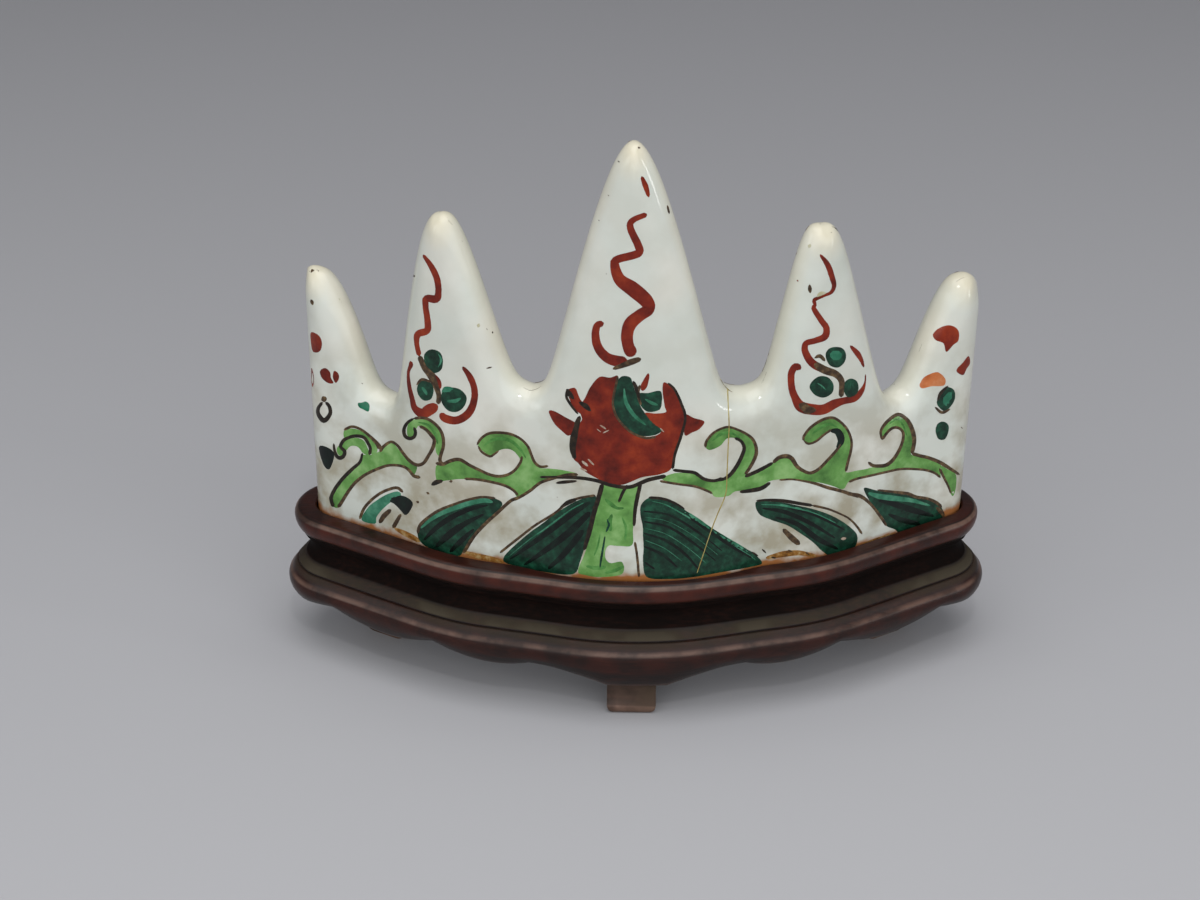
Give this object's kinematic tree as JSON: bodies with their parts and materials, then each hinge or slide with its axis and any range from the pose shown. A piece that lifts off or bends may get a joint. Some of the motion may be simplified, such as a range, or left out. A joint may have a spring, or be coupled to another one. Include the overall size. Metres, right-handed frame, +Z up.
{
  "type": "brush rest",
  "caption": "Porcelain brush rest shaped as a mountain range with saddles between its peaks, standing loose in the recess of a fitted hardwood stand.",
  "frame": {"origin": "on the table, under the middle of the stand's box", "axes": "+X to the right along the mountain range, +Y from the painted front to the back, +Z up"},
  "size_m": [0.1202, 0.0388, 0.1015],
  "materials": {
    "porcelain": "glossy greenish white glaze with red and green enamels over it",
    "stand_wood": "dark reddish brown hardwood, waxed and worn bright on its edges",
    "dowel_wood": "plain bare wood"
  },
  "bodies": {
    "stand": {"stand_tray": "stand_wood", "stand_base": "stand_wood", "front_foot": "stand_wood", "rear_left_foot": "stand_wood", "rear_right_foot": "stand_wood", "tier_dowels": "dowel_wood"},
    "mountain": {"mountain_body": "porcelain"}
  },
  "joints": [
    {"name": "lift_off", "type": "slide", "parent": "stand", "child": "mountain", "axis": [0, 0, 1], "range_m": [0, 0.03]}
  ]
}
